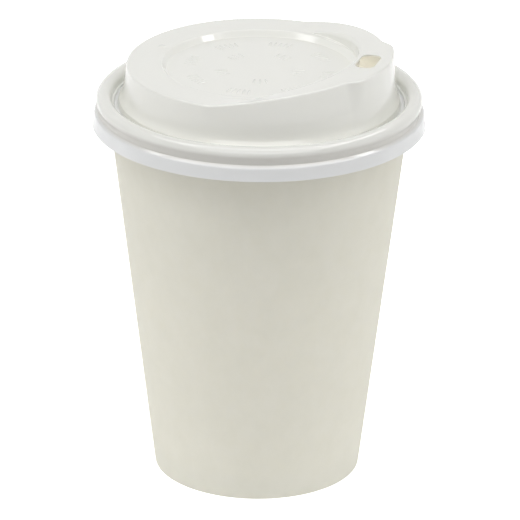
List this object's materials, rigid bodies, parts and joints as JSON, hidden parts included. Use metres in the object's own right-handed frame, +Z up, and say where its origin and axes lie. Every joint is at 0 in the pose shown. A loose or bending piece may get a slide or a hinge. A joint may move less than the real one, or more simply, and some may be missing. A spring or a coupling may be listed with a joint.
{
  "type": "paper coffee cup",
  "caption": "Tapered paper cup with a rolled rim and recessed base, and a lift-off plastic travel lid with a sloping dome, a raised sip spout and a recessed well.",
  "frame": {"origin": "on the surface the cup stands on, at the cup's axis", "axes": "+Z up along the cup's axis, +X from the axis to the lid's sip hole"},
  "size_m": [0.094, 0.094, 0.1251],
  "materials": {
    "cup_paper": "matt coated paperboard",
    "base_paper": "matt coated paperboard",
    "lid_plastic": "thermoformed polystyrene, soft gloss"
  },
  "bodies": {
    "cup": {"cup_wall": "cup_paper", "cup_base": "base_paper"},
    "lid": {"lid": "lid_plastic"}
  },
  "joints": [
    {"name": "lid_lift", "type": "slide", "parent": "cup", "child": "lid", "axis": [0, 0, 1], "range_m": [0, 0.03]}
  ]
}
